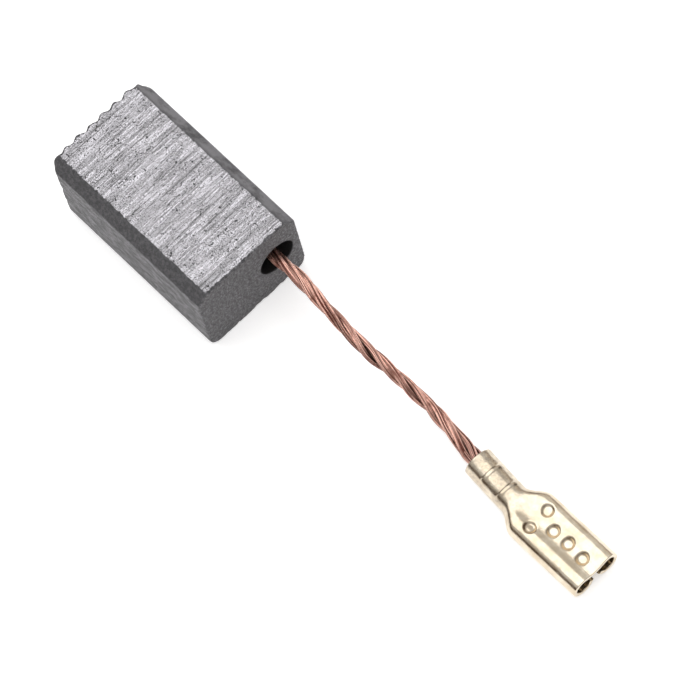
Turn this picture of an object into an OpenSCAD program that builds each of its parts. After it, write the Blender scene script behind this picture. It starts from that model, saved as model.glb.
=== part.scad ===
// Carbon brush: a pressed carbon-graphite block with a flexible copper lead
// tamped into its rear face, and a folded receptacle terminal crimped on the lead.
// The origin is at the centre of the block's bottom face, +X runs along the lead
// and +Z is up. Block and terminal both rest on the plane z = 0. Millimetres.

/* [Carbon block] */
// Length of the block, from the groove crests to the rear face
block_l = 14.7; // [12:0.1:24]
// Width of the block
block_w = 8.6; // [7.6:0.1:14]
// Height of the block
block_h = 7.3; // [6:0.1:12]
// 45 degree chamfer along the two top edges
top_chamfer = 0.8; // [0.3:0.05:1.2]
// Rounding along the two bottom edges
bottom_round = 0.9; // [0.3:0.05:1.5]
// Rounding of the upright edges at the contact end
end_round = 0.5; // [0.2:0.05:1]

/* [Contact face grooves] */
// Distance from one groove to the next
groove_pitch = 1.1; // [0.8:0.05:1.6]
// Depth of the grooves
groove_depth = 0.2; // [0.1:0.01:0.25]

/* [Lead bore] */
// Diameter of the bore in the rear face
bore_d = 2.9; // [2:0.05:3.2]
// Depth of the bore
bore_depth = 9; // [7:0.1:10.5]
// Sideways distance of the bore axis from the block's middle plane
bore_side = 2.25; // [0:0.05:2.4]
// Height of the bore axis above the bottom face
bore_z = 3.9; // [2.5:0.05:4.2]
// Depth of the tamped powder's face below the rear face
tamp_recess = 1.6; // [0.5:0.1:3]

/* [Copper lead] */
// Diameter of the stranded lead
lead_d = 1.05; // [0.8:0.05:1.1]
// Length of the lead inside the block
lead_buried = 7; // [5:0.1:8]

/* [Receptacle terminal] */
// Thickness of the terminal's sheet
sheet = 0.3; // [0.2:0.01:0.32]
// Width over the two rolls that grip the tab
box_w = 3.9; // [3.6:0.05:5]
// Height over the rolls
box_h = 1.75; // [1.6:0.05:2]
// Length of the rolls
box_l = 5.95; // [5:0.05:8]
// Depth of the trough between the rolls
trough = 0.2; // [0.1:0.01:0.3]
// Thickness of the tab that the rolls grip
tab_t = 0.5; // [0.4:0.05:0.6]
// Length of the shoulder between the rolls and the crimp barrel
shoulder_l = 1.8; // [1.2:0.1:3]
// Length of the crimp barrel
barrel_l = 3.5; // [2.8:0.1:5]
// Width of the crimp barrel
barrel_w = 2.2; // [2:0.05:2.6]
// Turn of the crimp barrel about the neck, in degrees
barrel_turn = 4; // [0:0.5:6]
// Height of the ribs that the crimping tool leaves across the barrel
rib_h = 0.07; // [0.03:0.01:0.12]
// Diameter of the dimples
dimple_d = 0.8; // [0.5:0.05:1]
// Depth of the dimples
dimple_h = 0.16; // [0.08:0.01:0.2]

/* [Hidden] */
$fn = 48;
eps = 0.01;           // run of a cutter past the face that it cuts

// Block
front_x = -block_l / 2;
rear_x = block_l / 2;
wave_lean = (pow(groove_pitch / 2, 2) + pow(groove_depth, 2)) / (2 * groove_depth);
wave_r = wave_lean / 2;                        // radius of crests and hollows alike
wave_n = floor(block_w / groove_pitch) + 2;

// Terminal: mouth at the far end, trough and rolls in the section
lead_run = 18.8;      // from the block's rear face to the crimp barrel
term_y = 1.87;        // middle line of the terminal
barrel_x = rear_x + lead_run;
neck_x = barrel_x + barrel_l;
box_x = neck_x + shoulder_l;
roll_r = box_h / 2;
roll_y = box_w / 2 - roll_r;
trough_r = (pow(roll_y, 2) + pow(trough, 2)) / (2 * trough) - roll_r;
trough_a = asin(roll_y / (trough_r + roll_r));
trough_z = box_h - trough + trough_r;
edge_z = box_h - trough - sheet - tab_t;       // height of the rolled-in free edges
edge_a = 180 - asin((edge_z - roll_r) / (roll_r - sheet / 2));
flange_a = 20;        // the shoulder's flanges reach this far below the roll's middle
back_z = box_h - barrel_w / 2;                 // centre of the barrel's rounded back
lobe_share = 0.28;    // radius of the barrel's lobes, as a share of its width
lobe_r = lobe_share * barrel_w;
lobe_y = barrel_w / 2 - lobe_r;
seam = 0.06;          // slit where the barrel's wings meet
lead_rise = 0.2;      // lead's axis above the centre of the barrel's back
neck_ramp = 0.2;      // way in which the barrel opens into the neck
wing_start = 0.04;    // share of the wing that stands at the rolls' start
wing_ramp = 0.3;      // way along the rolls in which the wing reaches its full sweep
rib_l = 0.3;
rib_edge = 0.06;
rib_x = [1.3, barrel_l - neck_ramp - rib_l - 2 * rib_edge];  // from the wire end
barrel_stations = concat(
    [[0, 0]],
    [for (x = rib_x) each [[x, 0], [x + rib_edge, rib_h],
        [x + rib_l, rib_h], [x + rib_l + rib_edge, 0]]],
    [[barrel_l - neck_ramp, 0]]
);

// Lead: the buried stretch, the free run, and the stretch in the barrel
lead_r = lead_d / 2;
lead_sides = 8;
lead_end_z = back_z + lead_rise;
turn_u = [cos(barrel_turn), -sin(barrel_turn), 0];
barrel_in = [neck_x, term_y, lead_end_z] - barrel_l * turn_u;
// Free run: way from the rear face, sway to the side, share of the way down
free_run = [
    [2.2, 0.05, 0.05], [4.3, -0.05, 0.15], [6.4, -0.1, 0.28], [8.5, -0.1, 0.42],
    [10.6, 0.1, 0.57], [12.7, 0.25, 0.72], [14.8, 0.3, 0.85], [16.9, 0.15, 0.95]
];
function run_point(p) = [
    rear_x + p[0],
    bore_side + (barrel_in[1] - bore_side) * p[2] + p[1],
    bore_z + (lead_end_z - bore_z) * p[2]
];
lead_route = concat(
    [[rear_x - lead_buried, bore_side, bore_z],
     [rear_x - tamp_recess - 2.4, bore_side, bore_z],
     [rear_x - tamp_recess, bore_side, bore_z],
     [rear_x, bore_side, bore_z]],
    [for (p = free_run) run_point(p)],
    [barrel_in - 0.4 * turn_u, barrel_in, barrel_in + 0.5 * barrel_l * turn_u,
     barrel_in + (barrel_l - neck_ramp) * turn_u]
);

function unit(v) = v / norm(v);
function last(v) = len(v) - 1;
function lead_dir(i) =
    unit(lead_route[min(i + 1, last(lead_route))] - lead_route[max(i - 1, 0)]);
function lead_ring(i) =
    let (t = lead_dir(i), side = unit(cross([0, 0, 1], t)), up = cross(t, side))
    [for (k = [0:lead_sides - 1])
        let (a = 360 * k / lead_sides)
        lead_route[i] + lead_r * (cos(a) * side + sin(a) * up)];

// Skin over a list of closed rings with the same number of points in each
module skin(rings) {
    n = len(rings[0]);
    m = len(rings);
    sides = [for (i = [0:m - 2], k = [0:n - 1], h = [0, 1])
        let (a = i * n + k, b = i * n + (k + 1) % n)
        h == 0 ? [a, b, a + n] : [b, b + n, a + n]];
    polyhedron(
        points = [for (r = rings, p = r) p],
        faces = concat(
            [[for (k = [n - 1:-1:0]) k]],
            sides,
            [[for (k = [0:n - 1]) (m - 1) * n + k]]
        )
    );
}

// Turns a section drawn as (side, height) into a bar along +X
module along_x(length) {
    rotate([90, 0, 90]) linear_extrude(length) children();
}

// Points of an arc about c from angle a to angle b, both ends included
function arc(c, r, a, b, n) =
    [for (i = [0:n]) let (t = a + (b - a) * i / n) c + r * [cos(t), sin(t)]];
function tail(v) = [for (i = [1:last(v)]) v[i]];
function reverse(v) = [for (i = [last(v):-1:0]) v[i]];

// Closed outline from its right half, which starts and ends on the middle line
function whole(half) =
    concat(half, [for (i = [last(half) - 1:-1:1]) [-half[i][0], half[i][1]]]);

// ---- Carbon block -------------------------------------------------------

module block_section() {
    w = block_w / 2;
    polygon([
        [-w, bottom_round], [bottom_round - w, bottom_round], [bottom_round - w, 0],
        [w - bottom_round, 0], [w - bottom_round, bottom_round], [w, bottom_round],
        [w, block_h - top_chamfer], [w - top_chamfer, block_h],
        [top_chamfer - w, block_h], [-w, block_h - top_chamfer]
    ]);
    for (s = [-1, 1])
        translate([s * (w - bottom_round), bottom_round]) circle(bottom_round);
}

module block_plan() {
    w = block_w / 2;
    crest_x = front_x + wave_r;
    hollow_x = front_x + groove_depth - wave_r;
    intersection() {
        difference() {
            union() {
                translate([front_x + groove_depth / 2, -w])
                    square([block_l - groove_depth / 2, block_w]);
                for (i = [0:wave_n])
                    translate([crest_x, (i - wave_n / 2) * groove_pitch]) circle(wave_r);
            }
            for (i = [0:wave_n + 1])
                translate([hollow_x, (i - wave_n / 2 - 0.5) * groove_pitch]) circle(wave_r);
        }
        union() {
            translate([front_x + end_round, -w]) square([block_l - end_round, block_w]);
            translate([front_x, end_round - w])
                square([2 * end_round, block_w - 2 * end_round]);
            for (s = [-1, 1])
                translate([front_x + end_round, s * (w - end_round)]) circle(end_round);
        }
    }
}

module carbon_block() {
    color([0.42, 0.42, 0.44])
    difference() {
        intersection() {
            translate([front_x, 0, 0]) along_x(block_l) block_section();
            linear_extrude(block_h) block_plan();
        }
        translate([rear_x - bore_depth, bore_side, bore_z])
            rotate([0, 90, 0]) cylinder(d = bore_d, h = bore_depth + eps);
    }
}

// ---- Tamped powder that holds the lead in the bore ----------------------

module tamped_powder() {
    color([0.2, 0.19, 0.19])
    translate([rear_x - bore_depth, bore_side, bore_z])
    rotate([0, 90, 0])
    difference() {
        cylinder(d = bore_d, h = bore_depth - tamp_recess);
        translate([0, 0, bore_depth - lead_buried])
            cylinder(r = lead_r, h = lead_buried, $fn = lead_sides);
    }
}

// ---- Copper lead --------------------------------------------------------

module copper_lead() {
    color([0.66, 0.38, 0.29])
    skin([for (i = [0:last(lead_route)]) lead_ring(i)]);
}

// ---- Receptacle terminal ------------------------------------------------
// The terminal is one sheet. A half section runs along the sheet from the middle
// line out to its free edge, `inset` inside its outer face.

// Over the trough, round the roll to the flange's edge, and on by a share of the wing
function roll_line(inset, share) = concat(
    arc([0, trough_z], trough_r + inset, -90, -90 + trough_a, 2),
    tail(arc([roll_y, roll_r], roll_r - inset, 90 + trough_a, -flange_a, 6)),
    tail(arc([roll_y, roll_r], roll_r - inset, -flange_a, wing_end(share), 8))
);
function wing_end(share) = -flange_a + share * (edge_a - 360 + flange_a);

// Half circle at the neck, with as many points as roll_line
function neck_line(inset) = concat(
    arc([0, back_z], barrel_w / 2 - inset, 90, 4, 8),
    tail(arc([0, back_z], barrel_w / 2 - inset, 4, 0, 8))
);

// Outside of the barrel: rounded back, then a lobe that ends at the seam. `grow`
// raises the back for a rib
function barrel_out(grow) = concat(
    [for (i = [0:8]) let (t = 90 - 11.25 * i)
        [0, back_z] + (barrel_w / 2 + grow * sin(t)) * [cos(t), sin(t)]],
    tail(arc([lobe_y, back_z], lobe_r, 0, -acos((seam / 2 - lobe_y) / lobe_r), 8))
);

// Inside of the barrel: the lead's own outline, from the top down to the seam
function barrel_in_line() = [for (i = [0:16])
    let (t = 90 - 11.25 * i, u = (t + 90) % 45, r = lead_r * cos(22.5) / cos(u - 22.5))
    [max(r * cos(t), seam / 2), lead_end_z + r * sin(t)]];

function roll_section(share) =
    whole(concat(roll_line(0, share), reverse(roll_line(sheet, share))));
function neck_section() = whole(concat(neck_line(0), reverse(neck_line(sheet))));
function barrel_section(grow) =
    whole(concat(barrel_out(grow), reverse(barrel_in_line())));

// Places a section point at a way along the barrel from the neck, or along the rolls
function by_neck(way, p) = [
    neck_x + way * turn_u[0] - p[0] * turn_u[1],
    term_y + way * turn_u[1] + p[0] * turn_u[0],
    p[1]
];
function by_box(way, p) = [box_x + way, term_y + p[0], p[1]];

// The sheet from the barrel's wire end, over the shoulder, to the mouth of the rolls
module sheet_body() {
    steps = 5;
    thin = neck_section();
    wide = roll_section(wing_start);
    skin(concat(
        [for (st = barrel_stations)
            [for (p = barrel_section(st[1])) by_neck(st[0] - barrel_l, p)]],
        [for (i = [0:steps])
            let (s = i / steps, k = s * s * (3 - 2 * s))
            [for (j = [0:last(thin)])
                let (a = by_neck(0, thin[j]), b = by_box(0, wide[j]))
                [a[0] + (b[0] - a[0]) * s, a[1] + (b[1] - a[1]) * k,
                 a[2] + (b[2] - a[2]) * k]]],
        [[for (p = roll_section(1)) by_box(wing_ramp, p)]],
        [[for (p = roll_section(1)) by_box(box_l, p)]]
    ));
}

// Dimples: two beside each other where the rolls begin, three along the trough
dimples = [[0.75, -0.82], [0.75, 0.82], [2.0, 0.1], [3.3, 0.15], [4.7, 0.07]];
function top_z(y) =
    abs(y) > roll_y - roll_r * sin(trough_a)
    ? roll_r + sqrt(pow(roll_r, 2) - pow(abs(y) - roll_y, 2))
    : trough_z - sqrt(pow(trough_r, 2) - pow(y, 2));

module dimple_at(p) {
    translate([box_x + p[0], term_y + p[1], top_z(p[1])]) children();
}

module terminal() {
    color([0.86, 0.8, 0.62])
    difference() {
        union() {
            sheet_body();
            for (p = dimples)
                dimple_at(p) translate([0, 0, -dimple_h - sheet])
                    cylinder(d = dimple_d + sheet, h = sheet + dimple_h / 2);
        }
        for (p = dimples)
            dimple_at(p) translate([0, 0, -dimple_h]) cylinder(d = dimple_d, h = 1);
    }
}

carbon_block();
tamped_powder();
copper_lead();
terminal();
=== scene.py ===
# %% [markdown]
# # A carbon brush
# A small motor brush: a pressed carbon block, a bare stranded copper lead and a folded
# terminal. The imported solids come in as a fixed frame. The block, the lead and the
# terminal are then made again as finer surfaces in the same places, and get their finish.

# %% Load the frame
import math

import bpy
import numpy as np
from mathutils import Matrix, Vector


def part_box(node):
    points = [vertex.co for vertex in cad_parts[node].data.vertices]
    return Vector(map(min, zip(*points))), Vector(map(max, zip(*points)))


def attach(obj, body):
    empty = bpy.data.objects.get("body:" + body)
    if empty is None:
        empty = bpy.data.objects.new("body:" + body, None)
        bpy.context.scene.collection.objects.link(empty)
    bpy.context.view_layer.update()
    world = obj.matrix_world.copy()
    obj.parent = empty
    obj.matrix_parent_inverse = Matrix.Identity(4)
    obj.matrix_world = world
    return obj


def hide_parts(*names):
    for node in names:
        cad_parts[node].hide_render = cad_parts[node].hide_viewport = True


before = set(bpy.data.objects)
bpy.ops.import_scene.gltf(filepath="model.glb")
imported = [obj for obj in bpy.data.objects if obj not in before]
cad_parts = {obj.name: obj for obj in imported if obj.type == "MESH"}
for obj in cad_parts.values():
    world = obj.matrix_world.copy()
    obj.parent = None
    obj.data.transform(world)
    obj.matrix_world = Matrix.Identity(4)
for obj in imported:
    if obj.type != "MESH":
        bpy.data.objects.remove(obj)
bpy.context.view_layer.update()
MM = 0.001
print("nodes:", sorted(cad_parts))

# %% [markdown]
# ## Camera
# A camera is a point, a direction and a roll about that direction. A long lens from
# far off keeps parallel edges nearly parallel, as in a picture taken close to a small
# thing with a macro lens. Blender's cameras look along their own -Z with +Y up.

# %% Camera
from mathutils import Quaternion, Vector

camera_at = Vector((0.1562, -0.0734, 0.3605))
camera_aim = Vector((0.01527, 0.00124, 0.003))
camera_roll = math.radians(-16.87)

camera = bpy.data.objects.new("camera", bpy.data.cameras.new("camera"))
camera.data.lens = 308.7
camera.data.clip_start = 0.01
camera.location = camera_at
turn = (camera_aim - camera_at).to_track_quat("-Z", "Y")
camera.rotation_euler = (turn @ Quaternion((0, 0, 1), camera_roll)).to_euler()
bpy.context.scene.collection.objects.link(camera)
bpy.context.scene.camera = camera
print("camera distance", round((camera_aim - camera_at).length, 4), "m")

# %% [markdown]
# ## Sizes
# The lengths below are the ones that shape the solids, in millimetres. Places come from
# the frame: the block's box and the terminal's box are read and not typed again.

# %% Sizes
block_lo, block_hi = (np.array(c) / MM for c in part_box("carbon_block"))
term_lo, term_hi = (np.array(c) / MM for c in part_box("terminal"))
block_w = block_hi[1] - block_lo[1]
block_h = block_hi[2]
top_chamfer, bottom_round = 0.8, 0.9
groove_pitch, groove_depth = 1.1, 0.2
bore_d, bore_depth, bore_side, bore_z = 2.9, 9.0, 2.25, 3.9
tamp_recess = 1.6
lead_d, lead_buried = 1.05, 7.0
sheet, box_w, box_h, box_l = 0.3, 3.9, 1.75, 5.95
trough, tab_t = 0.2, 0.5
shoulder_l, barrel_l, barrel_w, barrel_turn = 1.8, 3.5, 2.2, math.radians(4)
term_y = 1.87
rear_x = block_hi[0]
front_x = block_lo[0]
box_x = term_hi[0] - box_l
neck_x = box_x - shoulder_l
print("block", (block_hi - block_lo).round(2), "terminal", (term_hi - term_lo).round(2))

# %% [markdown]
# ## Helpers for surfaces
# Every new piece is a grid of points: rows along the piece, columns round it. The points
# are worked out as whole arrays, and each cell of the grid becomes one four-sided face.

# %% Grid to mesh
def grid_faces(rows, cols, start=0):
    """Faces of a grid that closes round its columns: cell (i, j) joins rows i and i+1."""
    i, j = np.meshgrid(np.arange(rows - 1), np.arange(cols), indexing="ij")
    a, b = i * cols + j, i * cols + (j + 1) % cols
    return np.stack([a, b, b + cols, a + cols], -1).reshape(-1, 4) + start


def zip_ring(cols, start=0):
    """Faces that close a small ring: point k is joined to the point as far from the end."""
    k = np.arange(cols // 2 - 1)
    return np.stack([k, cols - 1 - k, cols - 2 - k, k + 1], -1) + start


# %% Mesh from arrays
def make_piece(name, points_mm, *face_sets):
    """A smooth mesh from points in millimetres and sets of faces, one size to a set."""
    corners = np.concatenate([f.ravel() for f in face_sets]).astype(np.int32)
    sizes = np.concatenate([np.full(len(f), f.shape[1]) for f in face_sets])
    mesh = bpy.data.meshes.new(name)
    mesh.vertices.add(len(points_mm))
    mesh.vertices.foreach_set("co", (np.asarray(points_mm) * MM).astype(np.float32).ravel())
    mesh.loops.add(len(corners))
    mesh.loops.foreach_set("vertex_index", corners)
    mesh.polygons.add(len(sizes))
    mesh.polygons.foreach_set("loop_start", (np.cumsum(sizes) - sizes).astype(np.int32))
    mesh.polygons.foreach_set("use_smooth", np.ones(len(sizes), dtype=bool))
    mesh.update(calc_edges=True)
    mesh.validate()
    piece = bpy.data.objects.new(name, mesh)
    bpy.context.scene.collection.objects.link(piece)
    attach(piece, "root")
    print(name, len(points_mm), "points", len(sizes), "faces")
    return piece


def store(piece, label, values):
    """One number for each point of a piece, which a material can read."""
    layer = piece.data.attributes.new(label, "FLOAT", "POINT")
    layer.data.foreach_set("value", np.asarray(values, dtype=np.float32))


# %% [markdown]
# Noise gives the worn and chipped forms. A table of random numbers is read at the eight
# corners round a point and blended, which is a smooth random field of any grain size.

# %% Noise
table_size = 32
noise_table = np.random.default_rng(7).random((table_size, table_size, table_size))
print("noise table", noise_table.shape)


def noise(p, grain, shift=0.0):
    """Smooth random value from -1 to 1 at points p, with lumps about `grain` wide."""
    q = p / grain + shift
    cell = np.floor(q).astype(int)
    t = q - cell
    t = t * t * (3 - 2 * t)
    total = np.zeros(len(p))
    for corner in range(8):
        off = np.array([corner & 1, corner >> 1 & 1, corner >> 2 & 1])
        w = np.prod(np.where(off, t, 1 - t), axis=1)
        i, j, k = ((cell + off) % table_size).T
        total += w * noise_table[i, j, k]
    return 2 * total - 1


def ramp(x, low, high):
    """Smooth step from 0 at low to 1 at high."""
    t = np.clip((x - low) / (high - low), 0, 1)
    return t * t * (3 - 2 * t)


# %% [markdown]
# ## The lead's route
# The lead comes straight out of the powder in the bore, sinks to the table in a lazy
# curve and runs into the crimp barrel. The points are the ones that the solid follows.

# %% Route
back_z = box_h - barrel_w / 2
lead_end_z = back_z + 0.2
turn_u = np.array([math.cos(barrel_turn), -math.sin(barrel_turn), 0.0])
barrel_in = np.array([neck_x, term_y, lead_end_z]) - barrel_l * turn_u
free_run = np.array([
    [2.2, 0.05, 0.05], [4.3, -0.05, 0.15], [6.4, -0.1, 0.28], [8.5, -0.1, 0.42],
    [10.6, 0.1, 0.57], [12.7, 0.25, 0.72], [14.8, 0.3, 0.85], [16.9, 0.15, 0.95]])
free_points = np.column_stack([
    rear_x + free_run[:, 0],
    bore_side + (barrel_in[1] - bore_side) * free_run[:, 2] + free_run[:, 1],
    bore_z + (lead_end_z - bore_z) * free_run[:, 2]])
route = np.vstack([
    [[rear_x - lead_buried, bore_side, bore_z],
     [rear_x - tamp_recess - 2.4, bore_side, bore_z],
     [rear_x - tamp_recess, bore_side, bore_z],
     [rear_x, bore_side, bore_z]],
    free_points,
    barrel_in - 0.4 * turn_u, barrel_in, barrel_in + 0.5 * barrel_l * turn_u,
    barrel_in + (barrel_l - 0.2) * turn_u])


def along(points, step):
    """Points every `step` on a smooth curve through the given points, with the distance
    from the start. Each stretch is a cubic whose end slopes are those of its neighbours."""
    gaps = np.linalg.norm(np.diff(points, axis=0), axis=1)
    s = np.r_[0, np.cumsum(gaps)]
    slope = np.gradient(points, s, axis=0)
    u = np.linspace(0, s[-1], int(s[-1] / step) + 1)
    i = np.clip(np.searchsorted(s, u, side="right") - 1, 0, len(gaps) - 1)
    h = gaps[i][:, None]
    t = ((u - s[i])[:, None]) / h
    a, b = points[i], points[i + 1]
    return ((1 + 2 * t) * (1 - t) ** 2 * a + t * (1 - t) ** 2 * h * slope[i]
            + t * t * (3 - 2 * t) * b + t * t * (t - 1) * h * slope[i + 1]), u


centre_line, way = along(route, 0.14)
lead_length = np.linalg.norm(np.diff(centre_line, axis=0), axis=1).sum()
print("lead length", round(lead_length, 2), "mm")

# %% [markdown]
# ## The stranded lead
# The real lead is a rope: a few strands laid round each other, and each strand is a
# bundle of hair-fine wires. A bump map cannot give its edge, so every wire is a thin
# tube. A wire's place is the strand's turn round the lead plus its own turn in the strand.

# %% Tubes
def frames(line):
    """Side and up vectors across a line, upright as far as it allows."""
    t = np.gradient(line, axis=0)
    t /= np.linalg.norm(t, axis=1)[:, None]
    side = np.cross([0, 0, 1.0], t)
    side /= np.linalg.norm(side, axis=1)[:, None]
    return side, np.cross(t, side)


def tube(line, radius, sides, side, up):
    """Rings of `sides` points at `radius` round a line."""
    a = 2 * np.pi * np.arange(sides) / sides
    r = np.broadcast_to(np.asarray(radius, float), len(line))[:, None, None]
    ring = np.cos(a)[None, :, None] * side[:, None] + np.sin(a)[None, :, None] * up[:, None]
    return (line[:, None] + r * ring).reshape(-1, 3)


side, up = frames(centre_line)
print("lead rings", len(centre_line))

# %% [markdown]
# Each strand has a core with wires round it, painted dark as shade between the wires. Slow
# sine waves make it wander, so that the lay is uneven, and it spreads where the crimp lets go of
# it.

# %% Lead
strand_count, wire_count = 4, 16
core_sides, wire_sides = 8, 5
strand_pitch, wire_pitch = 7.6, 22.0
strand_reach, strand_width = 0.262, 0.182
free_way = way - lead_buried
rng = np.random.default_rng(3)
loose = 0.94 + 0.08 * np.sin(free_way * 0.9) + 0.06 * np.sin(free_way * 2.1 + 1)
flare = 1 + 0.32 * np.exp(-((free_way - 18.4) / 1.3) ** 2)
squeeze = 1 - 0.1 * ramp(free_way, 18.7, 19.3)
points, faces, tints_and_core_shade = [], [], []
for strand in range(strand_count):
    wander = 0.25 * np.sin(way * 0.35 + 2.1 * strand) + 0.12 * np.sin(way * 1.1 + strand)
    angle = 2 * np.pi * (way / strand_pitch + strand / strand_count) + wander + 0.6
    reach = (strand_reach + 0.03 * np.sin(way * 0.8 + 1.7 * strand)) * loose * flare * squeeze
    heart = centre_line + reach[:, None] * (np.cos(angle)[:, None] * side
                                           + np.sin(angle)[:, None] * up)
    width = strand_width * flare * squeeze * (1 + 0.08 * np.sin(way * 0.6 + 2.9 * strand))
    # The core's tint is 0, the darkest: painted shade seen between the wires.
    points.append(tube(heart, 0.78 * width, core_sides, side, up))
    tints_and_core_shade.append(np.zeros(len(heart) * core_sides))
    faces.append((len(way), core_sides))
    for wire in range(wire_count):
        phase = 2 * np.pi * wire / wire_count + rng.normal(0, 0.08)
        drift = 0.13 * np.sin(way * rng.uniform(0.3, 0.8) + rng.uniform(0, 6))
        turn_w = 2 * np.pi * way / wire_pitch + phase + drift
        share = 0.93 + 0.16 * rng.random()
        out = width * (share + 0.07 * np.sin(way * rng.uniform(0.4, 1.3) + wire))
        line = heart + out[:, None] * (np.cos(turn_w)[:, None] * side
                                       + np.sin(turn_w)[:, None] * up)
        points.append(tube(line, 0.038 + 0.008 * rng.random(), wire_sides, side, up))
        shade = rng.choice([0.1, 0.45, 0.8, 1.0])
        tone = shade + 0.25 * np.sin(way * rng.uniform(0.5, 2.0) + rng.uniform(0, 6))
        tints_and_core_shade.append(np.repeat(np.clip(0.1 + 0.9 * tone, 0.05, 1), wire_sides))
        faces.append((len(way), wire_sides))
starts = np.r_[0, np.cumsum([len(p) for p in points])]
lead_points = np.vstack(points)
walls = np.vstack([grid_faces(r, c, s) for (r, c), s in zip(faces, starts)])
ends = {}
for (r, c), s in zip(faces, starts):
    ends.setdefault(c, []).extend([s + np.arange(c)[::-1], s + (r - 1) * c + np.arange(c)])
lead = make_piece("lead_strands", lead_points, walls, *[np.array(e) for e in ends.values()])
ring_of = np.concatenate([np.repeat(np.arange(r), c) for r, c in faces])
from_axis = np.linalg.norm(lead_points - centre_line[ring_of], axis=1)
# Points near the lead's middle are marked for painted shade, which darkens the gaps between
# strands.
clear_of_gap_shade = ramp(from_axis / (flare * loose)[ring_of], 0.2, 0.4)
store(lead, "tint", np.concatenate(tints_and_core_shade))
store(lead, "clear_of_gap_shade", clear_of_gap_shade)

# %% [markdown]
# ## The carbon block
# The block is pressed from carbon and graphite powder, so its edges crumble a little and
# its faces are pitted. One grid covers it: each column is a line that starts in the
# middle of the grooved end, runs out to the edge, along the side, in over the rear face
# to the bore and down the bore's wall. Each row is the block's outline, more or less
# drawn in.

# %% Block outline
def block_outline(count):
    """Closed outline in (side, height), evenly spaced: two chamfered corners at the top,
    two round ones at the bottom, with every corner point slightly eased."""
    w, h, c, r = block_w / 2, block_h, top_chamfer, bottom_round
    t = np.linspace(0, np.pi / 2, 9)
    right_low = np.column_stack([w - r + r * np.sin(t), r - r * np.cos(t)])
    corner = np.vstack([right_low, [[w, h - c], [w - c, h]], [[c - w, h], [-w, h - c]],
                        right_low[::-1] * [-1, 1]])
    loop = np.vstack([corner, corner[:1]])
    s = np.r_[0, np.cumsum(np.linalg.norm(np.diff(loop, axis=0), axis=1))]
    u = np.arange(count) * s[-1] / count
    line = np.column_stack([np.interp(u, s, loop[:, k]) for k in (0, 1)])
    return 0.25 * np.roll(line, 1, 0) + 0.5 * line + 0.25 * np.roll(line, -1, 0)


columns = 400
outline = block_outline(columns)
middle = np.array([0.0, block_h / 2])
bore_at = np.array([bore_side, bore_z])
bore_way = outline - bore_at
bore_edge = bore_at + bore_d / 2 * bore_way / np.linalg.norm(bore_way, axis=1)[:, None]
edge_r = 0.1
print("block columns", columns)

# %% Block surface
def wave(y):
    """Depth of the grooves at side y: a cosine from crest to hollow."""
    return groove_depth * (0.5 - 0.5 * np.cos(2 * np.pi * (y - 0.55) / groove_pitch))


rows = []
for s in np.linspace(0.01, 1, 42):
    ring = middle + s * (outline - middle) * (1 - edge_r / 4)
    rows.append(np.column_stack([np.full(columns, front_x), ring]))
for a in np.linspace(0.3, np.pi / 2, 4):
    ring = middle + (outline - middle) * (1 - edge_r * (1 - math.sin(a)) / 4)
    rows.append(np.column_stack([np.full(columns, front_x + edge_r * (1 - math.cos(a))), ring]))
for x in np.linspace(front_x + edge_r, rear_x - edge_r, 126)[1:-1]:
    rows.append(np.column_stack([np.full(columns, x), outline]))
for a in np.linspace(np.pi / 2, 0.0, 5):
    ring = middle + (outline - middle) * (1 - edge_r * (1 - math.sin(a)) / 4)
    rows.append(np.column_stack([np.full(columns, rear_x - edge_r * (1 - math.cos(a))), ring]))
last_ring = rows[-1][:, 1:]
for t in np.linspace(0, 1, 30)[1:]:
    ring = last_ring + t * (bore_edge - last_ring)
    rows.append(np.column_stack([np.full(columns, rear_x), ring]))
bore_start = len(rows) * columns
for x in np.r_[np.linspace(rear_x - 0.1, rear_x - tamp_recess - 0.3, 12), rear_x - bore_depth]:
    rows.append(np.column_stack([np.full(columns, x), bore_edge]))
rows.append(np.column_stack([np.full(columns, rear_x - bore_depth),
                             bore_at + 0.05 * (bore_edge - bore_at)]))
block_points = np.vstack(rows)
print("block rows", len(rows))

# %% [markdown]
# The grid is then worn. Grooves push the contact end in. The upright edges at that end
# are rounded. Chips bite into the edges where the noise is high, and a fine noise
# roughens all of it. All of these only take material away.

# %% Wear the block
corner_reach, corner_depth = 0.9, 0.45
chip_depth, ridge_depth, grain_depth = 0.13, 0.07, 0.006
x, y, z = block_points.T
to_front, to_rear = x - front_x, rear_x - x
outer = np.arange(len(block_points)) < bore_start
x = x + wave(y) * ramp(-to_front, -0.6, -0.1)
corner_y = np.clip((np.abs(y) - (block_w / 2 - corner_reach)) / corner_reach, 0, 1)
x = x + corner_depth * corner_y ** 2.2 * ramp(-to_front, -1.5, -0.1)
worn = np.column_stack([x, y, z])
top_gap = block_h - z
side_gap = block_w / 2 - np.abs(y)
gaps = np.sort(np.column_stack([np.minimum(to_front, to_rear), side_gap, top_gap, z]), axis=1)
edge_near = np.exp(-(gaps[:, 1] / 0.16) ** 2)
chamfer_gap = np.abs(side_gap + top_gap - top_chamfer) / 1.414
end_gap = np.minimum(to_front, to_rear)
end_chamfer = np.exp(-(end_gap / 0.14) ** 2) * np.exp(-(chamfer_gap / 0.14) ** 2)
ridge = np.exp(-((top_gap ** 2 + (side_gap - top_chamfer) ** 2) / 0.1 ** 2))
chips = np.clip(noise(block_points, 0.45, 3.1) + 0.6 * noise(block_points, 0.2, 9.4) - 0.05, 0, 1)
fine_wear = noise(block_points, 0.16, 5.7)
depth = chip_depth * chips * np.maximum(edge_near, end_chamfer) + ridge_depth * chips * ridge
depth = depth + grain_depth * (1 + fine_wear)
inward = np.array([0, 0, block_h / 2]) - block_points
inward /= np.array([block_hi[0], block_w / 2, block_h / 2])
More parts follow.
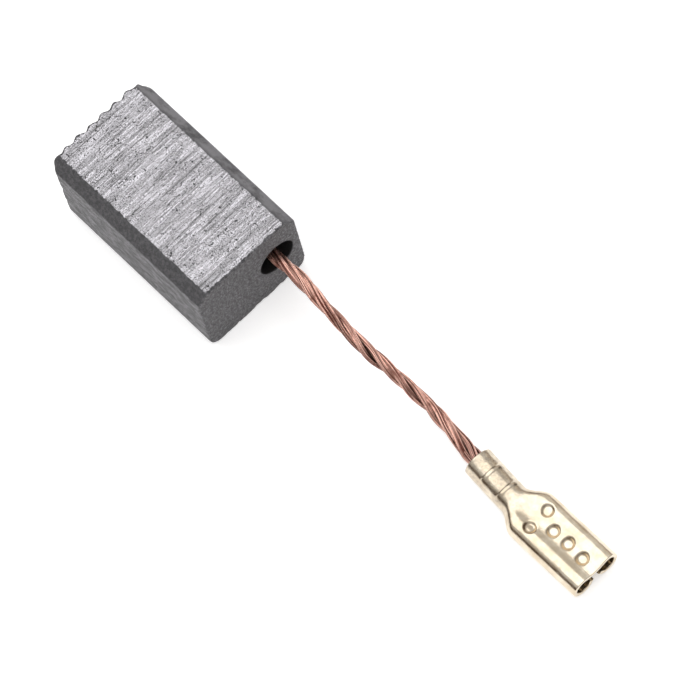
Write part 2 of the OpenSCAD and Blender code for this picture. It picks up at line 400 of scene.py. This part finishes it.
inward = np.sign(inward) * np.abs(inward) ** 3
inward /= np.linalg.norm(inward, axis=1)[:, None] + 1e-9
worn += inward * (depth * outer)[:, None]
ends = np.vstack([zip_ring(columns), zip_ring(columns, (len(rows) - 1) * columns)[:, ::-1]])
block = make_piece("carbon_block_worn", worn, grid_faces(len(rows), columns), ends)
inside_top = np.minimum(np.minimum(side_gap - top_chamfer, to_front - 0.08), to_rear - 0.06)
ground_in = np.where(top_gap < 0.02, inside_top, -0.5 - top_gap)
store(block, "ground_in", ground_in)
# Points of the bore's wall get 0 here; the carbon finish paints them near black as painted shade in
# the hole.
store(block, "clear_of_bore_shade", outer.astype(float))
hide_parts("carbon_block")

# %% [markdown]
# ## The terminal
# One sheet, folded. Its section is a line of arcs that changes on the way from the crimp
# barrel to the rolls. The outer and the inner face are the same line at two distances,
# so each row of the grid goes out along one and back along the other.

# %% Sections
roll_r = box_h / 2
roll_y = box_w / 2 - roll_r
trough_r = (roll_y ** 2 + trough ** 2) / (2 * trough) - roll_r
trough_a = math.asin(roll_y / (trough_r + roll_r))
trough_z = box_h - trough + trough_r
edge_z = box_h - trough - sheet - tab_t
edge_a = math.pi - math.asin((edge_z - roll_r) / (roll_r - sheet / 2)) - 2 * math.pi
flange_a = math.radians(20)
lobe_r = 0.28 * barrel_w
lobe_y = barrel_w / 2 - lobe_r
seam = 0.06
n_trough, n_roll, n_wing = 14, 30, 34


def arc(c, r, a, b, n):
    """n points on a circle of radius r round c, from angle a to angle b."""
    t = np.linspace(a, b, n)
    return np.array(c) + r * np.column_stack([np.cos(t), np.sin(t)])


def roll_line(inset, share):
    """Over the trough, round the roll to the flange's edge, and on by a share of the wing."""
    end = -flange_a + share * (edge_a + flange_a)
    return np.vstack([
        arc([0, trough_z], trough_r + inset, -np.pi / 2, -np.pi / 2 + trough_a, n_trough),
        arc([roll_y, roll_r], roll_r - inset, np.pi / 2 + trough_a, -flange_a, n_roll + 1)[1:],
        arc([roll_y, roll_r], roll_r - inset, -flange_a, end, n_wing + 1)[1:]])


def neck_line(inset):
    """Half of the round section where the barrel meets the shoulder, drawn in by inset."""
    r, n = barrel_w / 2 - inset, n_trough + n_roll
    return np.vstack([arc([0, back_z], r, np.pi / 2, math.radians(4), n),
                      arc([0, back_z], r, math.radians(4), 0, n_wing + 1)[1:]])


def barrel_out(grow):
    """Outer half section of the barrel: a round back, then a lobe that curls to the seam."""
    t = np.linspace(np.pi / 2, 0, n_trough + n_roll)
    back = np.array([0, back_z]) + (barrel_w / 2 + grow * np.sin(t))[:, None] * np.column_stack(
        [np.cos(t), np.sin(t)])
    low = -math.acos((seam / 2 - lobe_y) / lobe_r)
    return np.vstack([back, arc([lobe_y, back_z], lobe_r, 0, low, n_wing + 1)[1:]])


def barrel_bore():
    """Half of the round hole in the barrel, kept off the middle by half the seam."""
    n = n_trough + n_roll + n_wing
    p = arc([0, lead_end_z], lead_d / 2, np.pi / 2, -np.pi / 2, n)
    p[:, 0] = np.maximum(p[:, 0], seam / 2)
    return p


def section(outer_line, inner_line):
    """Closed loop: right half out along the outer line, back along the inner one, and
    the mirrored left half, with rounded free edges."""
    across = inner_line[-1] - outer_line[-1]
    edge = outer_line[-1] + np.array([[0.25], [0.75]]) * across
    half = np.vstack([outer_line, edge, inner_line[::-1]])
    return np.vstack([half, half[::-1][1:-1] * [-1, 1]])


print("section points", len(section(roll_line(0, 1), roll_line(sheet, 1))))

# %% Sheet from barrel to mouth
def by_neck(offset, p):
    """Places a section across the barrel, which is turned a little, at offset from the neck."""
    out = np.empty((len(p), 3))
    out[:, 0] = neck_x + offset * turn_u[0] - p[:, 0] * turn_u[1]
    out[:, 1] = term_y + offset * turn_u[1] + p[:, 0] * turn_u[0]
    out[:, 2] = p[:, 1]
    return out


def by_box(offset, p):
    """Places a section across the straight rolls, at offset from where they begin."""
    return np.column_stack([np.full(len(p), box_x + offset), term_y + p[:, 0], p[:, 1]])


rib_h, rib_rise, rib_l, neck_ramp = 0.07, 0.1, 0.36, 0.2
rib_x = [1.3, barrel_l - neck_ramp - 0.42]
term_rows = []
for offset in np.arange(0, barrel_l - neck_ramp + 0.001, 0.06):
    grow = sum(rib_h * ramp(offset, r, r + rib_rise)
               * ramp(-offset, -(r + rib_l), -(r + rib_l - rib_rise))
               for r in rib_x)
    bell = 0.05 * math.exp(-(offset / 0.25) ** 2)
    term_rows.append(by_neck(offset - barrel_l, section(barrel_out(grow + bell), barrel_bore())))
neck = section(neck_line(0), neck_line(sheet))
wide = section(roll_line(0, 0.04), roll_line(sheet, 0.04))
for s in np.linspace(0, 1, 30):
    k = s * s * (3 - 2 * s)
    a, b = by_neck(0, neck), by_box(0, wide)
    term_rows.append(a + (b - a) * np.array([s, k, k]))
for offset in np.linspace(0.05, 0.3, 6):
    share = 0.04 + 0.96 * float(ramp(offset, 0, 0.3))
    term_rows.append(by_box(offset, section(roll_line(0, share), roll_line(sheet, share))))
full = section(roll_line(0, 1), roll_line(sheet, 1))
for offset in np.arange(0.36, box_l - 0.03, 0.07):
    term_rows.append(by_box(offset, full))
slim = section(roll_line(0.05, 1), roll_line(sheet - 0.05, 1))
term_rows.append(by_box(box_l - 0.03, full))
term_rows.append(by_box(box_l, slim))
rows_n, cols_n = len(term_rows), len(full)
sheet_points = np.vstack(term_rows)
print("terminal rows", rows_n, "columns", cols_n)

# %% [markdown]
# The punch marks are pushed into the sheet from above: every point of the top, on its
# outer and inner face alike, drops by a smooth dish. A little noise leaves the sheet as
# uneven as stamped metal is. The two ends of the grid are closed by bridging the loop's
# outer points to its inner ones.

# %% Dimples and dents
dimples = [(0.75, -0.82), (0.75, 0.82), (2.0, 0.1), (3.3, 0.15), (4.7, 0.07)]
dish_depth, dish_floor, dish_rim, unevenness = 0.2, 0.25, 0.52, 0.008
drop = np.zeros(len(sheet_points))
upper = sheet_points[:, 2] > roll_r
for dx, dy in dimples:
    r = np.hypot(sheet_points[:, 0] - box_x - dx, sheet_points[:, 1] - term_y - dy)
    drop += dish_depth * ramp(-r, -dish_rim, -dish_floor) * upper
sheet_points[:, 2] -= drop
sheet_points += unevenness * np.column_stack(
    [noise(sheet_points, 0.9, k * 7.3) for k in (1, 2, 3)])


half_n = n_trough + n_roll + n_wing
k = np.arange(half_n)
right_cap = np.stack([k, k + 1, 2 * half_n - k, 2 * half_n + 1 - k], -1)
mirror_of = (cols_n - np.arange(cols_n)) % cols_n
left_cap = mirror_of[right_cap][:, ::-1]
cap = np.vstack([right_cap, left_cap])
side_faces = grid_faces(rows_n, cols_n)[:, ::-1]
term_faces = np.vstack([side_faces, cap, cap[:, ::-1] + (rows_n - 1) * cols_n])
terminal = make_piece("terminal_sheet", sheet_points, term_faces)
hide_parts("terminal")

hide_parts("copper_lead")

# %% [markdown]
# ## Finishes
# Each material is a Principled BSDF fed by patterns in Object coordinates, scaled so
# that one unit is a millimetre. The fine grain is in all four materials, so it is a node
# group, built once and placed in each with its own scale and levels.

# %% Material helper
class Maker:
    """Adds nodes to one node tree and joins them."""

    def __init__(self, tree):
        self.tree = tree

    def node(self, kind, **values):
        """Add a node of a kind and set its properties."""
        n = self.tree.nodes.new(kind)
        for key, value in values.items():
            setattr(n, key, value)
        return n

    def link(self, a, b):
        """Join an output to an input."""
        self.tree.links.new(a, b)

    def feed(self, socket, value):
        """Give an input either a link or a constant."""
        if isinstance(value, bpy.types.NodeSocket):
            self.link(value, socket)
        else:
            socket.default_value = value

    def math(self, kind, a, b=0.0, clamp=False):
        """One sum on two values."""
        n = self.node("ShaderNodeMath", operation=kind, use_clamp=clamp)
        self.feed(n.inputs[0], a)
        self.feed(n.inputs[1], b)
        return n.outputs[0]

    def noise(self, vector, scale, detail=3.0, rough=0.5):
        """Noise from 0 to 1, mostly near 0.5."""
        n = self.node("ShaderNodeTexNoise")
        self.link(vector, n.inputs["Vector"])
        self.feed(n.inputs["Scale"], scale)
        n.inputs["Detail"].default_value = detail
        n.inputs["Roughness"].default_value = rough
        return n.outputs["Fac"]

    def step(self, value, low, high):
        """Smooth step from 0 at low to 1 at high, or down where low is the greater."""
        n = self.node("ShaderNodeMapRange", interpolation_type="SMOOTHSTEP")
        self.feed(n.inputs["Value"], value)
        self.feed(n.inputs["From Min"], low)
        self.feed(n.inputs["From Max"], high)
        return n.outputs["Result"]

    def mix(self, fac, a, b):
        """Colour a where fac is 0, and colour b where it is 1."""
        n = self.node("ShaderNodeMix", data_type="RGBA")
        self.feed(n.inputs["Factor"], fac)
        self.feed(n.inputs["A"], a)
        self.feed(n.inputs["B"], b)
        return n.outputs["Result"]

    def millimetres(self, turn=(0, 0, 0), stretch=(1, 1, 1)):
        """Object coordinates in millimetres, turned and stretched."""
        where = self.node("ShaderNodeTexCoord")
        m = self.node("ShaderNodeMapping")
        self.link(where.outputs["Object"], m.inputs["Vector"])
        m.inputs["Rotation"].default_value = turn
        m.inputs["Scale"].default_value = tuple(1000 * s for s in stretch)
        return m.outputs["Vector"]

    def bump(self, height, strength, distance):
        """Normals bent by a height."""
        n = self.node("ShaderNodeBump")
        n.inputs["Strength"].default_value = strength
        n.inputs["Distance"].default_value = distance
        self.link(height, n.inputs["Height"])
        return n.outputs["Normal"]


def build_grain():
    """The shared grain: noise at a scale, as a height and as a mask between two levels."""
    tree = bpy.data.node_groups.new("fine_grain", "ShaderNodeTree")
    tree.interface.new_socket(name="Vector", in_out="INPUT", socket_type="NodeSocketVector")
    for label in ("Scale", "Low", "High"):
        tree.interface.new_socket(name=label, in_out="INPUT", socket_type="NodeSocketFloat")
    for label in ("Height", "Mask"):
        tree.interface.new_socket(name=label, in_out="OUTPUT", socket_type="NodeSocketFloat")
    inner = Maker(tree)
    given = inner.node("NodeGroupInput")
    made = inner.node("NodeGroupOutput")
    height = inner.noise(given.outputs["Vector"], given.outputs["Scale"], 3.0, 0.7)
    inner.link(height, made.inputs["Height"])
    inner.link(inner.step(height, given.outputs["Low"], given.outputs["High"]), made.inputs["Mask"])
    return tree


fine_grain = build_grain()


def grain(m, vector, scale, low=0.4, high=0.6):
    """Place the shared grain in a material; gives its height and its mask."""
    n = m.node("ShaderNodeGroup", node_tree=fine_grain)
    m.link(vector, n.inputs["Vector"])
    for label, value in (("Scale", scale), ("Low", low), ("High", high)):
        n.inputs[label].default_value = value
    return n.outputs["Height"], n.outputs["Mask"]


def new_material(name):
    """A new material, a Maker for its nodes, and its Principled BSDF."""
    m = bpy.data.materials.new(name)
    m.use_nodes = True
    maker = Maker(m.node_tree)
    print("material", name)
    return m, maker, m.node_tree.nodes["Principled BSDF"]


def grey(v, tint=(1, 1, 1)):
    """A grey of value v, with a slight tint."""
    return (v * tint[0], v * tint[1], v * tint[2], 1)


# %% [markdown]
# ### Carbon
# The top is ground: bright, with fine marks across it and pits painted near black as painted
# shade in their hollows. The chamfers and ends are as pressed: dark and dull, and the far chamfer
# is painted lighter as painted light. The sides are smeared mid grey. Height above the base picks
# the finish, broken up by noise so that the borders crumble.

# %% Carbon patterns
carbon, m, skin = new_material("pressed_carbon")
mm = m.millimetres()
split = m.node("ShaderNodeSeparateXYZ")
m.link(mm, split.inputs[0])
px, py, pz = split.outputs
fine = m.noise(mm, 4.5, 4.0, 0.65)
grainy, dots = grain(m, mm, 13.0, 0.52, 0.44)
patchy = m.noise(mm, 0.9, 3.0, 0.6)
jitter = m.math("MULTIPLY", m.math("SUBTRACT", fine, 0.5), 0.55)
inside = m.node("ShaderNodeAttribute", attribute_name="ground_in")
ground = m.step(m.math("ADD", inside.outputs["Fac"], jitter), 0.03, 0.09)
marks_a = m.noise(m.millimetres((0, 0, math.radians(-5)), (1, 0.02, 1)), 15.0, 5.0, 0.7)
marks_b = m.noise(m.millimetres((0, 0, math.radians(6)), (1, 0.06, 1)), 6.0, 5.0, 0.75)
lines = m.step(marks_a, 0.46, 0.37)
scuffs = m.step(marks_b, 0.40, 0.62)
crowd = m.math("MULTIPLY", m.math("SUBTRACT", patchy, 0.5), 0.16)
specks = m.step(m.math("ADD", grainy, crowd), 0.50, 0.42)
shaded_pits = m.step(m.math("ADD", m.noise(mm, 6.5, 2.0, 0.5), crowd), 0.365, 0.325)
print("carbon nodes", len(carbon.node_tree.nodes))

# %% Carbon colours
lilac = (0.99, 0.97, 1.03)
bright = m.mix(scuffs, grey(0.50, lilac), grey(0.93, lilac))
bright = m.mix(m.math("MULTIPLY", lines, 0.8), bright, grey(0.12))
bright = m.mix(m.math("MULTIPLY", specks, 0.85), bright, grey(0.1))
# Pits are painted near black: painted shade in the hollows of the ground face.
bright = m.mix(shaded_pits, bright, grey(0.02))
drag = m.noise(m.millimetres((0, 0, 0), (0.55, 1, 0.9)), 2.4, 6.0, 0.75)
side_tone = m.mix(m.step(drag, 0.35, 0.68), grey(0.07, lilac), grey(0.34, lilac))
side_tone = m.mix(m.math("MULTIPLY", dots, 0.7), side_tone, grey(0.06))
pressed = m.mix(m.step(fine, 0.35, 0.7), grey(0.07, lilac), grey(0.13, lilac))
pressed = m.mix(m.math("MULTIPLY", m.step(grainy, 0.44, 0.36), 0.8), pressed, grey(0.03))
# The far chamfer is painted lighter: painted light on that side, broken up by noise.
far_side_painted_light = m.math("MULTIPLY", m.step(py, 3.2, 3.7), m.step(patchy, 0.3, 0.6))
pressed = m.mix(m.math("MULTIPLY", far_side_painted_light, 0.75), pressed, grey(0.26, lilac))
on_side = m.step(m.math("ADD", pz, m.math("MULTIPLY", jitter, 0.4)),
                 block_h - top_chamfer + 0.03, block_h - top_chamfer - 0.05)
on_end = m.step(m.math("ADD", px, m.math("MULTIPLY", jitter, 0.4)), rear_x - 0.12, rear_x - 0.05)
dark = m.mix(m.math("MULTIPLY", on_side, m.math("SUBTRACT", 1.0, on_end)), pressed, side_tone)
rear_tone = m.mix(m.step(fine, 0.3, 0.7), grey(0.07, lilac), grey(0.26, lilac))
rear_tone = m.mix(m.math("MULTIPLY", dots, 0.8), rear_tone, grey(0.04))
dark = m.mix(on_end, dark, rear_tone)
face = m.mix(ground, dark, bright)
# The bore's wall is painted near black: painted shade inside the hole.
clear_of_bore_shade = m.node("ShaderNodeAttribute", attribute_name="clear_of_bore_shade")
m.link(m.mix(clear_of_bore_shade.outputs["Fac"], grey(0.012), face), skin.inputs["Base Color"])
print("carbon nodes", len(carbon.node_tree.nodes))

# %% Carbon surface
skin.inputs["Metallic"].default_value = 0.35
rough = m.math("ADD", m.math("MULTIPLY", ground, -0.1), m.math("MULTIPLY", grainy, 0.2))
m.link(m.math("ADD", rough, 0.5), skin.inputs["Roughness"])
relief = m.math("MULTIPLY", m.math("MULTIPLY", m.math("ADD", lines, scuffs), ground), -0.3)
relief = m.math("ADD", relief, m.math("MULTIPLY", grainy, 0.8))
relief = m.math("SUBTRACT", relief, m.math("MULTIPLY", shaded_pits, 0.9))
m.link(m.bump(relief, 0.7, 0.00007), skin.inputs["Normal"])
block.data.materials.append(carbon)

# %% Powder material
powder, m, skin = new_material("tamped_powder")
mm = m.millimetres()
crumbs, lit = grain(m, mm, 12.0)
m.link(m.mix(lit, grey(0.008), grey(0.03)), skin.inputs["Base Color"])
skin.inputs["Roughness"].default_value = 0.9
m.link(m.bump(crumbs, 0.8, 0.0001), skin.inputs["Normal"])
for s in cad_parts["tamped_powder"].material_slots:
    s.material = powder

# %% [markdown]
# ### Copper
# Bare wire goes from bright pink copper to a dull brown. Each wire has
# a tint of its own, stored on its points. The strand cores and the points deep in the lead are
# darkest: painted shade between the wires.

# %% Copper material
copper, m, skin = new_material("bare_copper")
mm = m.millimetres()
tone = m.node("ShaderNodeAttribute", attribute_name="tint")
blotch, dull = grain(m, mm, 1.1, 0.5, 0.72)
# Tint 0, the strand cores, takes the darkest brown as painted shade between the wires.
colour = m.mix(tone.outputs["Fac"], (0.12, 0.028, 0.018, 1), (1.0, 0.62, 0.51, 1))
colour = m.mix(m.math("MULTIPLY", dull, 0.7), colour, (0.22, 0.07, 0.045, 1))
# Deep points are painted near black: painted shade between the strands.
clear_of_gap_shade = m.node("ShaderNodeAttribute", attribute_name="clear_of_gap_shade")
m.link(m.mix(clear_of_gap_shade.outputs["Fac"], (0.05, 0.014, 0.008, 1), colour), skin.inputs["Base Color"])
skin.inputs["Metallic"].default_value = 0.9
m.link(m.math("ADD", 0.16, m.math("MULTIPLY", blotch, 0.22)), skin.inputs["Roughness"])
lead.data.materials.append(copper)

# %% Brass material
brass, m, skin = new_material("pale_brass")
mm = m.millimetres()
cloud = m.noise(mm, 0.9, 4.0, 0.6)
speck, flecks = grain(m, mm, 16.0, 0.62, 0.74)
rolled = m.noise(m.millimetres((0, 0, 0), (0.06, 1, 1)), 14.0, 3.0)
split = m.node("ShaderNodeSeparateXYZ")
m.link(mm, split.inputs[0])
worked = m.step(split.outputs[0], box_x + 0.6, neck_x - 0.6)
stain = m.math("MULTIPLY", worked, m.step(m.noise(mm, 2.6, 5.0, 0.75), 0.3, 0.75))
colour = m.mix(m.step(cloud, 0.35, 0.65), (0.64, 0.54, 0.40, 1), (0.80, 0.71, 0.57, 1))
colour = m.mix(flecks, colour, (0.42, 0.32, 0.19, 1))
colour = m.mix(stain, colour, (0.42, 0.36, 0.29, 1))
m.link(colour, skin.inputs["Base Color"])
skin.inputs["Metallic"].default_value = 1.0
uneven = m.math("MULTIPLY", m.math("ADD", m.math("ADD", cloud, speck), stain), 0.09)
m.link(m.math("ADD", 0.1, uneven), skin.inputs["Roughness"])
m.link(m.bump(m.math("ADD", rolled, m.math("MULTIPLY", speck, 0.5)), 0.18, 0.00004),
       skin.inputs["Normal"])
terminal.data.materials.append(brass)

# %% [markdown]
# ## Floor, light and background
# A white sheet under the object, one large soft light overhead, and a weak one behind.
# The world is brown near the horizon, which gives the metals something dark to mirror.
# The floor adds a little of its own light for the camera and for reflections, so that it
# reads as white and still keeps the object's shadow.

# %% Floor
floor_half = 1.2
floor_mesh = bpy.data.meshes.new("floor")
corners = [(sx * floor_half, sy * floor_half, -1e-5)
           for sx, sy in ((-1, -1), (1, -1), (1, 1), (-1, 1))]
floor_mesh.from_pydata(corners, [], [(0, 1, 2, 3)])
floor = bpy.data.objects.new("floor", floor_mesh)
bpy.context.scene.collection.objects.link(floor)
paper = bpy.data.materials.new("white_sheet")
paper.use_nodes = True
tree = paper.node_tree
tree.nodes.clear()
m = Maker(tree)
diffuse = m.node("ShaderNodeBsdfDiffuse")
diffuse.inputs["Color"].default_value = (0.9, 0.9, 0.9, 1)
glow = m.node("ShaderNodeEmission")
path = m.node("ShaderNodeLightPath")
seen = m.math("MAXIMUM", path.outputs["Is Camera Ray"], path.outputs["Is Glossy Ray"])
seen = m.math("MAXIMUM", seen, path.outputs["Is Transmission Ray"])
m.link(m.math("MULTIPLY", seen, 0.42), glow.inputs["Strength"])
both = m.node("ShaderNodeAddShader")
out = m.node("ShaderNodeOutputMaterial")
m.link(diffuse.outputs[0], both.inputs[0])
m.link(glow.outputs[0], both.inputs[1])
m.link(both.outputs[0], out.inputs["Surface"])
floor.data.materials.append(paper)
print("floor", 2 * floor_half, "m wide")

# %% Lights
def soft_light(name, at, aim, size_m, watts, colour=(1, 1, 1)):
    """A rectangular area light at a place, facing aim."""
    data = bpy.data.lights.new(name, "AREA")
    data.shape, data.energy, data.color = "RECTANGLE", watts, colour
    data.size, data.size_y = size_m
    light = bpy.data.objects.new(name, data)
    light.location = at
    light.rotation_euler = (Vector(aim) - Vector(at)).to_track_quat("-Z", "Y").to_euler()
    bpy.context.scene.collection.objects.link(light)
    print("light", name, watts, "W")


middle_of = (0.015, 0, 0.003)
soft_light("overhead", (-0.13, -0.02, 0.40), middle_of, (0.55, 0.80), 1.55)
soft_light("wall", (-0.22, 0.51, 0.18), middle_of, (0.50, 0.30), 0.2, (1.0, 0.94, 0.86))
world = bpy.data.worlds.new("room")
bpy.context.scene.world = world
world.use_nodes = True
m = Maker(world.node_tree)
heading = m.node("ShaderNodeTexCoord")
split = m.node("ShaderNodeSeparateXYZ")
m.link(heading.outputs["Generated"], split.inputs[0])
sky = m.mix(m.step(split.outputs[2], 0.15, 0.72), (0.06, 0.026, 0.007, 1), (0.74, 0.74, 0.74, 1))
m.link(sky, world.node_tree.nodes["Background"].inputs["Color"])
bpy.context.scene.view_settings.view_transform = "Standard"
